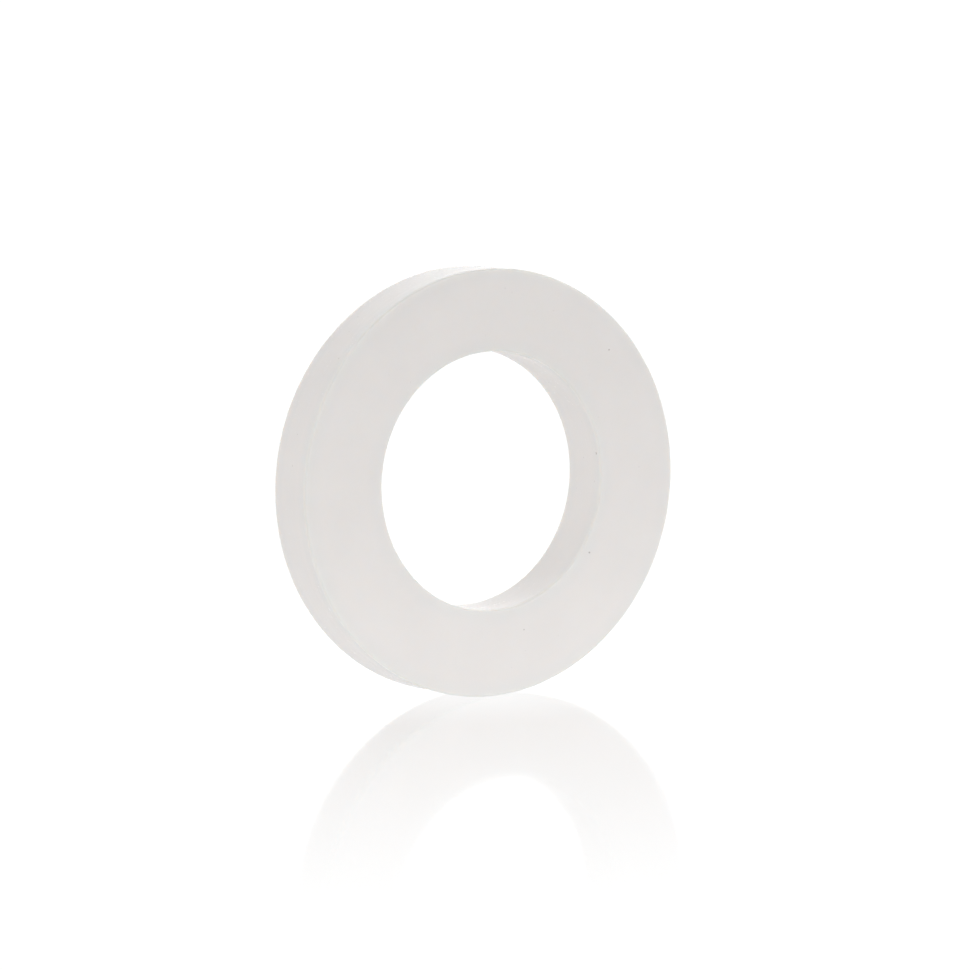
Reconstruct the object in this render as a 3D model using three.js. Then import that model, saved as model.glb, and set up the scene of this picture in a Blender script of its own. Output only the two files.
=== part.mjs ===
// Flat washer: one soft ring of milky silicone rubber, with a rectangular section and softly rounded edges.
// Millimetres, +Z up. The ring stands on its rim with its axis along Y, and the origin is at its centre.

import * as THREE from "three";

const OUTER_DIAMETER = 24.0;
const BORE_DIAMETER = 14.5;
const THICKNESS = 3.2;
const EDGE_RADIUS = 0.2;

const RING_SEGMENTS = 128; // a multiple of 4, so that all four sides of the ring end in a flat facet
const EDGE_STEPS = 4; // facets round each rounded edge

const SILICONE_COLOUR = 0xe3dfdc;
const SILICONE_ROUGHNESS = 0.45;

// One rounded edge of the section: a quarter turn about its centre, in the plane of radius and height.
function roundedEdge(centreRadius, centreHeight, startAngle) {
  const points = [];
  for (let step = 0; step <= EDGE_STEPS; step += 1) {
    const angle = startAngle + (step / EDGE_STEPS) * (Math.PI / 2);
    points.push(
      new THREE.Vector2(
        centreRadius + EDGE_RADIUS * Math.cos(angle),
        centreHeight + EDGE_RADIUS * Math.sin(angle),
      ),
    );
  }
  return points;
}

// The closed section of the ring: four rounded edges, joined by the two faces, the rim and the bore wall.
function ringSection() {
  const rim = OUTER_DIAMETER / 2 - EDGE_RADIUS;
  const bore = BORE_DIAMETER / 2 + EDGE_RADIUS;
  const face = THICKNESS / 2 - EDGE_RADIUS;
  const section = [
    ...roundedEdge(rim, -face, -Math.PI / 2),
    ...roundedEdge(rim, face, 0),
    ...roundedEdge(bore, face, Math.PI / 2),
    ...roundedEdge(bore, -face, Math.PI),
  ];
  section.push(section[0].clone());
  return section;
}

// The ring turns about Y. Its first corner is half a facet away from +Z, so it stands on a facet, not on a corner.
function washer() {
  const halfFacet = Math.PI / RING_SEGMENTS;
  const geometry = new THREE.LatheGeometry(ringSection(), RING_SEGMENTS, halfFacet);
  const material = new THREE.MeshStandardMaterial({
    color: SILICONE_COLOUR,
    roughness: SILICONE_ROUGHNESS,
    metalness: 0,
  });
  const mesh = new THREE.Mesh(geometry, material);
  mesh.name = "washer";
  return mesh;
}

const model = new THREE.Group();
model.add(washer());

export default model;
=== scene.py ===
import math

import bpy
from mathutils import Matrix, Vector, noise


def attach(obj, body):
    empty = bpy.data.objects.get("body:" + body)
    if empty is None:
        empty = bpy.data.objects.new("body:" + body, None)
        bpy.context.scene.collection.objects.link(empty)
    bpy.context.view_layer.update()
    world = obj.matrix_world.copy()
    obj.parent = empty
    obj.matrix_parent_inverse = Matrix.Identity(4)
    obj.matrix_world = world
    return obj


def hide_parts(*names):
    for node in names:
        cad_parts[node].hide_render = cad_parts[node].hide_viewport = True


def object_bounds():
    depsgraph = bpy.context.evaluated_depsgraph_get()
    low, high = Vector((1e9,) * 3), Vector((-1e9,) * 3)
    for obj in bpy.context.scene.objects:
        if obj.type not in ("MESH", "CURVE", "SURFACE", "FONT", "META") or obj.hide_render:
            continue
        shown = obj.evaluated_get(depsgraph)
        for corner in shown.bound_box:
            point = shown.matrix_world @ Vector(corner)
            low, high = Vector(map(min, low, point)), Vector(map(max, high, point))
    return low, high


# Flat washer of milky silicone rubber, standing on its rim on a white table. Metres, +Z up, axis along Y.

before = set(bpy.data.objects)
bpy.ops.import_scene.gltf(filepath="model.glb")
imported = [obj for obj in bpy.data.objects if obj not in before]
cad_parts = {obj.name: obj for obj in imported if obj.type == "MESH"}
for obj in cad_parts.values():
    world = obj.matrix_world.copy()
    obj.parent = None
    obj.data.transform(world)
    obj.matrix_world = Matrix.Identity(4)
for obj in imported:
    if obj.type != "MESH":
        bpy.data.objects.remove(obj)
cad_low, cad_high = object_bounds()

MM = 0.001

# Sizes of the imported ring, read from its own corners.
ring_corners = [vertex.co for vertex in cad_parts["washer"].data.vertices]
OUTER_RADIUS = max(math.hypot(corner.x, corner.z) for corner in ring_corners)
BORE_RADIUS = min(math.hypot(corner.x, corner.z) for corner in ring_corners)
HALF_THICKNESS = (cad_high[1] - cad_low[1]) / 2

# Fineness of the visible ring.
RING_SEGMENTS = 640
EDGE_STEPS = 8
FACE_STEPS = 26
WALL_STEPS = 24

# Small departures from a perfect ring, such as stamping from sheet can leave. The bore sits a little off the
# rim's middle and is a little tight, and the rim is a little out of round.
FRONT_EDGE_RADIUS = 0.14 * MM
BACK_EDGE_RADIUS = 0.08 * MM
WALL_HOLLOW = 0.035 * MM
HOLLOW_CONFINED = 8  # how closely the hollow keeps to the two cut walls
FACE_RIPPLE = 0.012 * MM
FACE_RIPPLE_LENGTH = 5.0 * MM
WALL_RIPPLE = 0.010 * MM
WALL_RIPPLE_LENGTH = 1.6 * MM
CUT_LINE = 0.004 * MM
CUT_LINE_SPACING = 0.35 * MM
BORE_SHIFT = Vector((0.046 * MM, 0, 0.108 * MM))
BORE_TIGHTNESS = 0.05 * MM
OVAL = 0.110 * MM
OVAL_TURN = math.radians(78)

# The name that the ring's corners keep their place in the perfect section under.
SECTION_PLACE = "section_place"

# The camera, seen from the ring's centre. Its azimuth and elevation are in degrees.
CAMERA_AZIMUTH = -32.5
CAMERA_ELEVATION = 7.1
CAMERA_ROLL = math.radians(-2.2)
CAMERA_DISTANCE = 10.98 * 2 * OUTER_RADIUS
CAMERA_CLIP = 100
CAMERA_AIM = Vector((0.36 * MM, -0.25 * MM, -0.24 * MM))
CAMERA_LENS = 175.74
CAMERA_SENSOR = 36.0


# ---------------------------------------------------------------- the ring's shape


def quarter_round(radius_of_centre, height_of_centre, edge_radius, start_angle):
    """Points round one edge of the section, a quarter turn from start_angle."""
    points = []
    for step in range(EDGE_STEPS + 1):
        angle = start_angle + math.pi / 2 * step / EDGE_STEPS
        points.append(
            (
                radius_of_centre + edge_radius * math.cos(angle),
                height_of_centre + edge_radius * math.sin(angle),
            )
        )
    return points


def straight(start, end, steps):
    """Points between start and end, without the two ends."""
    points = []
    for step in range(1, steps):
        share = step / steps
        points.append(
            (start[0] + (end[0] - start[0]) * share, start[1] + (end[1] - start[1]) * share)
        )
    return points


def ring_section():
    """The closed section of the ring, as (radius, height along Y) points. The front face has the lowest Y."""
    front, back = FRONT_EDGE_RADIUS, BACK_EDGE_RADIUS
    front_rim = quarter_round(OUTER_RADIUS - front, front - HALF_THICKNESS, front, -math.pi / 2)
    back_rim = quarter_round(OUTER_RADIUS - back, HALF_THICKNESS - back, back, 0)
    back_bore = quarter_round(BORE_RADIUS + back, HALF_THICKNESS - back, back, math.pi / 2)
    front_bore = quarter_round(BORE_RADIUS + front, front - HALF_THICKNESS, front, math.pi)
    return [
        *front_rim,
        *straight(front_rim[-1], back_rim[0], WALL_STEPS),
        *back_rim,
        *straight(back_rim[-1], back_bore[0], FACE_STEPS),
        *back_bore,
        *straight(back_bore[-1], front_bore[0], WALL_STEPS),
        *front_bore,
        *straight(front_bore[-1], front_rim[0], FACE_STEPS),
    ]


def uneven(radius, height, angle):
    """The point of the real ring nearest to a point of the perfect one."""
    direction = Vector((math.sin(angle), 0, math.cos(angle)))
    place = direction * radius + Vector((0, height, 0))
    across = (radius - BORE_RADIUS) / (OUTER_RADIUS - BORE_RADIUS)
    along = height / HALF_THICKNESS
    outward = 2 * across - 1
    ripple = noise.noise(place / FACE_RIPPLE_LENGTH) * FACE_RIPPLE
    wall_ripple = noise.noise(place / WALL_RIPPLE_LENGTH) * WALL_RIPPLE
    cut_line = noise.noise(Vector((outward, height / CUT_LINE_SPACING, 0))) * CUT_LINE
    hollow = WALL_HOLLOW * (1 - along * along) * abs(outward) ** HOLLOW_CONFINED
    radius_change = (wall_ripple + cut_line) * outward - hollow * math.copysign(1, outward)
    oval = OVAL * across * math.cos(2 * (angle - OVAL_TURN))
    middle = BORE_SHIFT * (1 - across) + Vector((0, height + ripple, 0))
    tightness = BORE_TIGHTNESS * (1 - across)
    return middle + direction * (radius + radius_change + oval - tightness)


def store_section_places(mesh, section):
    """Keeps each corner's place in the perfect section, so that the material can follow the uneven edges."""
    numbers = []
    for radius, height in section * RING_SEGMENTS:
        numbers.extend((radius, height, 0))
    mesh.attributes.new(SECTION_PLACE, "FLOAT_VECTOR", "POINT").data.foreach_set("vector", numbers)


def ring_mesh():
    """The whole ring as one closed mesh of quads."""
    section = ring_section()
    count = len(section)
    vertices = []
    for segment in range(RING_SEGMENTS):
        angle = 2 * math.pi * segment / RING_SEGMENTS
        vertices.extend(uneven(radius, height, angle) for radius, height in section)
    faces = []
    for segment in range(RING_SEGMENTS):
        here = segment * count
        there = (segment + 1) % RING_SEGMENTS * count
        for point in range(count):
            after = (point + 1) % count
            faces.append((here + point, here + after, there + after, there + point))
    mesh = bpy.data.meshes.new("silicone_ring")
    mesh.from_pydata([tuple(vertex) for vertex in vertices], [], faces)
    mesh.polygons.foreach_set("use_smooth", [True] * len(faces))
    mesh.update()
    store_section_places(mesh, section)
    return mesh


# ---------------------------------------------------------------- node helpers


def new_node(tree, kind, **settings):
    """A shader node. Settings that start with a capital are its inputs, and the others its properties."""
    node = tree.nodes.new(kind)
    for name, value in settings.items():
        if name[0].isupper():
            give(tree, node.inputs[name.replace("_", " ")], value)
        else:
            setattr(node, name, value)
    return node


def give(tree, socket, value):
    """Links an output to the socket, or sets its plain value."""
    if isinstance(value, bpy.types.NodeSocket):
        tree.links.new(value, socket)
    else:
        socket.default_value = value


def sums(tree, operation, *values):
    """The result of one Math node."""
    node = new_node(tree, "ShaderNodeMath", operation=operation)
    for socket, value in zip(node.inputs, values):
        give(tree, socket, value)
    return node.outputs[0]


def ramp(tree, value, low, high, low_result=0.0, high_result=1.0):
    """A smooth step of value from low to high."""
    node = new_node(tree, "ShaderNodeMapRange", interpolation_type="SMOOTHSTEP")
    for socket, number in zip(node.inputs, (value, low, high, low_result, high_result)):
        give(tree, socket, number)
    return node.outputs[0]


def mixed(tree, share, first, second, blend_type="MIX"):
    """A colour between first and second, or another blend of the two."""
    node = new_node(tree, "ShaderNodeMix", data_type="RGBA", blend_type=blend_type)
    factor, first_input, second_input = node.inputs[0], node.inputs[6], node.inputs[7]
    give(tree, factor, share)
    give(tree, first_input, first)
    give(tree, second_input, second)
    return node.outputs[2]


# ---------------------------------------------------------------- silicone

# Lengths in the material are in millimetres, and its scales are per millimetre.
SILICONE_LIGHT = (0.888, 0.857, 0.836, 1)
SILICONE_DARK = (0.872, 0.842, 0.822, 1)
# Painted shade: a darker, bluer tint along all four edges of the ring, standing in for the shade of light
# leaking out through the thin edges.
PAINTED_EDGE_SHADE_TINT = (0.945, 0.982, 0.995, 1)
PAINTED_EDGE_SHADE_WIDTH = 1.1

# Not a mark on a real washer: it cancels a light line that the rounded edges otherwise show when rendered.
EDGE_LINE_TINT = (0.950, 0.950, 0.955, 1)
EDGE_LINE_WIDTH = 0.16

DUST_COLOUR = (0.40, 0.36, 0.33, 1)
DUST = {"per_millimetre": 1.1, "share": 0.14, "radius": 0.075}
DUST_STRENGTH = 0.6
GRIT = {"per_millimetre": 2.2, "share": 0.20, "radius": 0.055}
GRIT_STRENGTH_ON_FACE = 0.10
GRIT_STRENGTH_ON_WALL = 0.32
SPECK_RAGGEDNESS = 0.12
SPECK_RAGGED_SCALE = 9.0
SPECK_SOFTNESS = 0.25
WALL_STARTS = 0.05
WALL_IN_FULL = 0.25
CLOUD_SCALE = 0.22
CLOUD_DETAIL = 3.0
CLOUD_ROUGHNESS = 0.55
GRAIN_SCALE = 6.0
GRAIN_DETAIL = 4.0
GRAIN_ROUGHNESS = 0.6
WALL_LINE_SCALES = (0.15, 7.0, 0.15)
SMOOTH_ROUGHNESS = 0.16
GRAINY_ROUGHNESS = 0.24
WALL_LINE_ROUGHNESS = 0.06
RELIEF_STRENGTH = 0.10
RELIEF_DEPTH = 0.02 * MM
SILICONE_IOR = 1.41
SCATTER_RADIUS = (1.0, 0.58, 0.30)
SCATTER_SCALE = 0.7 * MM


def separate(tree, vector):
    """The X, Y and Z outputs of a vector."""
    node = new_node(tree, "ShaderNodeSeparateXYZ", Vector=vector)
    return node.outputs["X"], node.outputs["Y"], node.outputs["Z"]


def scaled(tree, vector, scale):
    """The vector times a scale along each axis."""
    node = new_node(tree, "ShaderNodeVectorMath", operation="MULTIPLY")
    give(tree, node.inputs[0], vector)
    give(tree, node.inputs[1], scale)
    return node.outputs["Vector"]


def length(tree, vector):
    """The length of a vector."""
    node = new_node(tree, "ShaderNodeVectorMath", operation="LENGTH")
    give(tree, node.inputs[0], vector)
    return node.outputs["Value"]


def edge_distance(tree, section_place):
    """Distance in millimetres along the surface from the nearest of the ring's four edges."""
    radius = separate(tree, section_place)[0]
    to_rim = sums(tree, "SUBTRACT", OUTER_RADIUS / MM, radius)
    to_bore = sums(tree, "SUBTRACT", radius, BORE_RADIUS / MM)
    to_wall = sums(tree, "MINIMUM", to_rim, to_bore)
    return sums(tree, "MAXIMUM", to_wall, to_face(tree, section_place))


def to_face(tree, section_place):
    """Depth in millimetres below the nearer flat face. It is 0 on the faces, and more on the cut walls."""
    height = separate(tree, section_place)[1]
    return sums(tree, "SUBTRACT", HALF_THICKNESS / MM, sums(tree, "ABSOLUTE", height))


def specks(tree, position, per_millimetre, share, radius):
    """A mask of small uneven spots. Share is the part of the pattern's cells that hold one."""
    ragged = new_node(tree, "ShaderNodeTexNoise", Vector=position, Scale=SPECK_RAGGED_SCALE, Detail=2.0)
    shift = scaled(tree, ragged.outputs["Color"], (SPECK_RAGGEDNESS,) * 3)
    place = new_node(tree, "ShaderNodeVectorMath", operation="ADD")
    give(tree, place.inputs[0], position)
    give(tree, place.inputs[1], shift)
    cells = new_node(tree, "ShaderNodeTexVoronoi", Vector=place.outputs["Vector"], Scale=per_millimetre)
    chance = separate(tree, cells.outputs["Color"])[0]
    size = ramp(tree, chance, 1 - share, 1.0, 0.0, radius * per_millimetre)
    inside = sums(tree, "SUBTRACT", size, cells.outputs["Distance"])
    return ramp(tree, inside, 0.0, SPECK_SOFTNESS * radius * per_millimetre)


def silicone_material():
    """Milky silicone. Light scatters inside it, red the deepest, so its thin edges look a little blue. A
    darker, bluer tint painted along all its edges adds painted shade on top of that.
    """
    material = bpy.data.materials.new("silicone")
    material.use_nodes = True
    tree = material.node_tree
    tree.nodes.clear()
    place = new_node(tree, "ShaderNodeTexCoord")
    position = scaled(tree, place.outputs["Object"], (1 / MM, 1 / MM, 1 / MM))
    stored = new_node(tree, "ShaderNodeAttribute", attribute_name=SECTION_PLACE)
    section_place = scaled(tree, stored.outputs["Vector"], (1 / MM, 1 / MM, 1 / MM))
    below_face = to_face(tree, section_place)
    on_wall = ramp(tree, below_face, WALL_STARTS, WALL_IN_FULL)

    clouds = new_node(tree, "ShaderNodeTexNoise", Vector=position, Scale=CLOUD_SCALE)
    clouds.inputs["Detail"].default_value = CLOUD_DETAIL
    clouds.inputs["Roughness"].default_value = CLOUD_ROUGHNESS
    cloud_share = ramp(tree, clouds.outputs["Fac"], 0.35, 0.65)
    colour = mixed(tree, cloud_share, SILICONE_DARK, SILICONE_LIGHT)
    from_edge = edge_distance(tree, section_place)
    # Painted shade: the edges get a darker, bluer tint in the base colour.
    painted_shade_share = ramp(tree, from_edge, 0.0, PAINTED_EDGE_SHADE_WIDTH, 1.0, 0.0)
    line_share = ramp(tree, from_edge, 0.0, EDGE_LINE_WIDTH, 1.0, 0.0)
    colour = mixed(tree, painted_shade_share, colour, PAINTED_EDGE_SHADE_TINT, "MULTIPLY")
    colour = mixed(tree, line_share, colour, EDGE_LINE_TINT, "MULTIPLY")
    dust_share = sums(tree, "MULTIPLY", specks(tree, position, **DUST), DUST_STRENGTH)
    grit_limits = (WALL_STARTS, WALL_IN_FULL, GRIT_STRENGTH_ON_FACE, GRIT_STRENGTH_ON_WALL)
    grit_strength = ramp(tree, below_face, *grit_limits)
    grit_share = sums(tree, "MULTIPLY", specks(tree, position, **GRIT), grit_strength)
    colour = mixed(tree, dust_share, colour, DUST_COLOUR)
    colour = mixed(tree, grit_share, colour, DUST_COLOUR)

    grain = new_node(tree, "ShaderNodeTexNoise", Vector=position, Scale=GRAIN_SCALE)
    grain.inputs["Detail"].default_value = GRAIN_DETAIL
    grain.inputs["Roughness"].default_value = GRAIN_ROUGHNESS
    lines = new_node(tree, "ShaderNodeTexNoise", Vector=scaled(tree, position, WALL_LINE_SCALES), Scale=1.0)
    wall_lines = sums(tree, "MULTIPLY", lines.outputs["Fac"], on_wall)
    grain_roughness = ramp(tree, grain.outputs["Fac"], 0.3, 0.7, SMOOTH_ROUGHNESS, GRAINY_ROUGHNESS)
    line_roughness = sums(tree, "MULTIPLY", wall_lines, WALL_LINE_ROUGHNESS)
    roughness = sums(tree, "ADD", grain_roughness, line_roughness)
    relief = sums(tree, "ADD", grain.outputs["Fac"], wall_lines)
    bump = new_node(tree, "ShaderNodeBump", Strength=RELIEF_STRENGTH, Distance=RELIEF_DEPTH, Height=relief)

    shader = new_node(
        tree,
        "ShaderNodeBsdfPrincipled",
        subsurface_method="BURLEY",
        Base_Color=colour,
        Roughness=roughness,
        IOR=SILICONE_IOR,
        Subsurface_Weight=1.0,
        Subsurface_Radius=SCATTER_RADIUS,
        Subsurface_Scale=SCATTER_SCALE,
        Normal=bump.outputs[0],
    )
    output = new_node(tree, "ShaderNodeOutputMaterial")
    give(tree, output.inputs["Surface"], shader.outputs[0])
    return material


def silicone_ring():
    """The visible washer."""
    ring = bpy.data.objects.new("silicone_ring", ring_mesh())
    bpy.context.scene.collection.objects.link(ring)
    ring.data.materials.append(silicone_material())
    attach(ring, "root")
    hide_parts("washer")
    return ring


# ---------------------------------------------------------------- the studio

WHITE = 1.04
TABLE_SIZE = 4.0
TABLE_GLOW = 0.85
TABLE_GLOW_FRONT = 0.42
TABLE_DIM_FROM = -10 * MM
TABLE_DIM_UNTIL = -70 * MM
TABLE_IOR = 1.5
MIRROR_REACH = 75 * MM
MIRROR_GAIN = 1.85
CONTACT_SHARE = 0.42
CONTACT_REACH = 12 * MM
MIRROR_WHITE = (1.02, 1.02, 1.02, 1)
MIRROR_ROUGHNESS = 0.08

ROOM_GLOW = 1.04
CEILING_GLOW = 0.62
CEILING_START = math.radians(38)
CEILING_FULL = math.radians(52)

# Brighter and darker parts of the room: azimuth, elevation and reach in degrees, then change of brightness.
# They light the ring only. The camera sees an even white, so this isn't the light of a plain white room.
ROOM_LIGHTS = {
    "front soft light": (-2, 40, 33, 0.18),
    "front right wall": (30, 20, 45, 0.11),
    "bright backdrop": (150, 5, 50, 0.26),
    "dim left side": (-90, 44, 40, -0.42),
}


def heading(azimuth, elevation):
    """The direction at an azimuth and elevation in degrees. Azimuth 0 is towards -Y, and 90 is towards +X."""
    turn, rise = math.radians(azimuth), math.radians(elevation)
    return Vector((math.sin(turn) * math.cos(rise), -math.cos(turn) * math.cos(rise), math.sin(rise)))


def camera_only(tree):
    """1 for rays that come straight from the camera, and 0 for the light that falls on the ring."""
    return new_node(tree, "ShaderNodeLightPath").outputs["Is Camera Ray"]


def seen_white(tree, lighting):
    """Plain white to the camera, and the given brightness to everything else."""
    strength = new_node(tree, "ShaderNodeMix", data_type="FLOAT")
    give(tree, strength.inputs[0], camera_only(tree))
    give(tree, strength.inputs[2], lighting)
    give(tree, strength.inputs[3], WHITE)
    return strength.outputs[0]


def table_material():
    """A table that is white to the camera but lights the ring less.

    Only the camera sees its mirror image of the ring, which is weak at the contact and fades out far from it.
    """
    material = bpy.data.materials.new("light_table")
    material.use_nodes = True
    tree = material.node_tree
    tree.nodes.clear()
    place = new_node(tree, "ShaderNodeNewGeometry").outputs["Position"]
    away = length(tree, scaled(tree, place, (1, 1, 0)))
    far_fade = ramp(tree, away, 0.0, MIRROR_REACH, MIRROR_GAIN, 0.0)
    near_fade = ramp(tree, away, 0.0, CONTACT_REACH, CONTACT_SHARE, 1.0)
    fade = sums(tree, "MULTIPLY", far_fade, near_fade)
    fresnel = new_node(tree, "ShaderNodeFresnel", IOR=TABLE_IOR).outputs[0]
    mirror_share = sums(tree, "MULTIPLY", sums(tree, "MULTIPLY", fade, fresnel), camera_only(tree))

    depth = separate(tree, place)[1]
    lighting = ramp(tree, depth, TABLE_DIM_UNTIL, TABLE_DIM_FROM, TABLE_GLOW_FRONT, TABLE_GLOW)
    glow = new_node(tree, "ShaderNodeEmission", Color=(1, 1, 1, 1), Strength=seen_white(tree, lighting))
    mirror = new_node(tree, "ShaderNodeBsdfGlossy", Color=MIRROR_WHITE, Roughness=MIRROR_ROUGHNESS)
    both = new_node(tree, "ShaderNodeMixShader")
    give(tree, both.inputs[0], mirror_share)
    give(tree, both.inputs[1], glow.outputs[0])
    give(tree, both.inputs[2], mirror.outputs[0])
    output = new_node(tree, "ShaderNodeOutputMaterial")
    give(tree, output.inputs["Surface"], both.outputs[0])
    return material


def light_table(height):
    """The plain white table top that the ring stands on."""
    half = TABLE_SIZE / 2
    mesh = bpy.data.meshes.new("light_table")
    corners = [(-half, -half, height), (half, -half, height), (half, half, height), (-half, half, height)]
    mesh.from_pydata(corners, [], [(0, 1, 2, 3)])
    table = bpy.data.objects.new("light_table", mesh)
    bpy.context.scene.collection.objects.link(table)
    table.data.materials.append(table_material())


def room_light(tree, direction, azimuth, elevation, reach, change):
    """A soft round patch of the room that is brighter or darker by change at its middle."""
    facing = new_node(tree, "ShaderNodeVectorMath", operation="DOT_PRODUCT")
    give(tree, facing.inputs[0], direction)
    give(tree, facing.inputs[1], heading(azimuth, elevation))
    return ramp(tree, facing.outputs["Value"], math.cos(math.radians(reach)), 1.0, 0.0, change)


def room():
    """The world: plain white to the camera, and to the ring a soft white room with a dimmer ceiling."""
    world = bpy.data.worlds.new("room")
    bpy.context.scene.world = world
    world.use_nodes = True
    tree = world.node_tree
    tree.nodes.clear()
    direction = new_node(tree, "ShaderNodeTexCoord").outputs["Generated"]
    height = separate(tree, direction)[2]
    start, full = math.sin(CEILING_START), math.sin(CEILING_FULL)
    lighting = ramp(tree, height, start, full, ROOM_GLOW, CEILING_GLOW)
    for settings in ROOM_LIGHTS.values():
        lighting = sums(tree, "ADD", lighting, room_light(tree, direction, *settings))
    glow = new_node(tree, "ShaderNodeBackground", Color=(1, 1, 1, 1), Strength=seen_white(tree, lighting))
    output = new_node(tree, "ShaderNodeOutputWorld")
    give(tree, output.inputs["Surface"], glow.outputs[0])


def camera():
    """A long lens a little above the table, aimed near the ring's middle."""
    data = bpy.data.cameras.new("camera")
    data.lens = CAMERA_LENS
    data.sensor_width = CAMERA_SENSOR
    data.clip_start = CAMERA_DISTANCE / CAMERA_CLIP
    data.clip_end = CAMERA_DISTANCE * CAMERA_CLIP
    eye = bpy.data.objects.new("camera", data)
    bpy.context.scene.collection.objects.link(eye)
    eye.location = heading(CAMERA_AZIMUTH, CAMERA_ELEVATION) * CAMERA_DISTANCE
    forward = CAMERA_AIM - eye.location
    eye.rotation_mode = "QUATERNION"
    turned = forward.to_track_quat("-Z", "Y") @ Matrix.Rotation(CAMERA_ROLL, 3, "Z").to_quaternion()
    eye.rotation_quaternion = turned
    bpy.context.scene.camera = eye


bpy.context.scene.view_settings.view_transform = "Standard"
camera()
ring = silicone_ring()
floor_height = min(vertex.co.z for vertex in ring.data.vertices)
light_table(floor_height)
room()
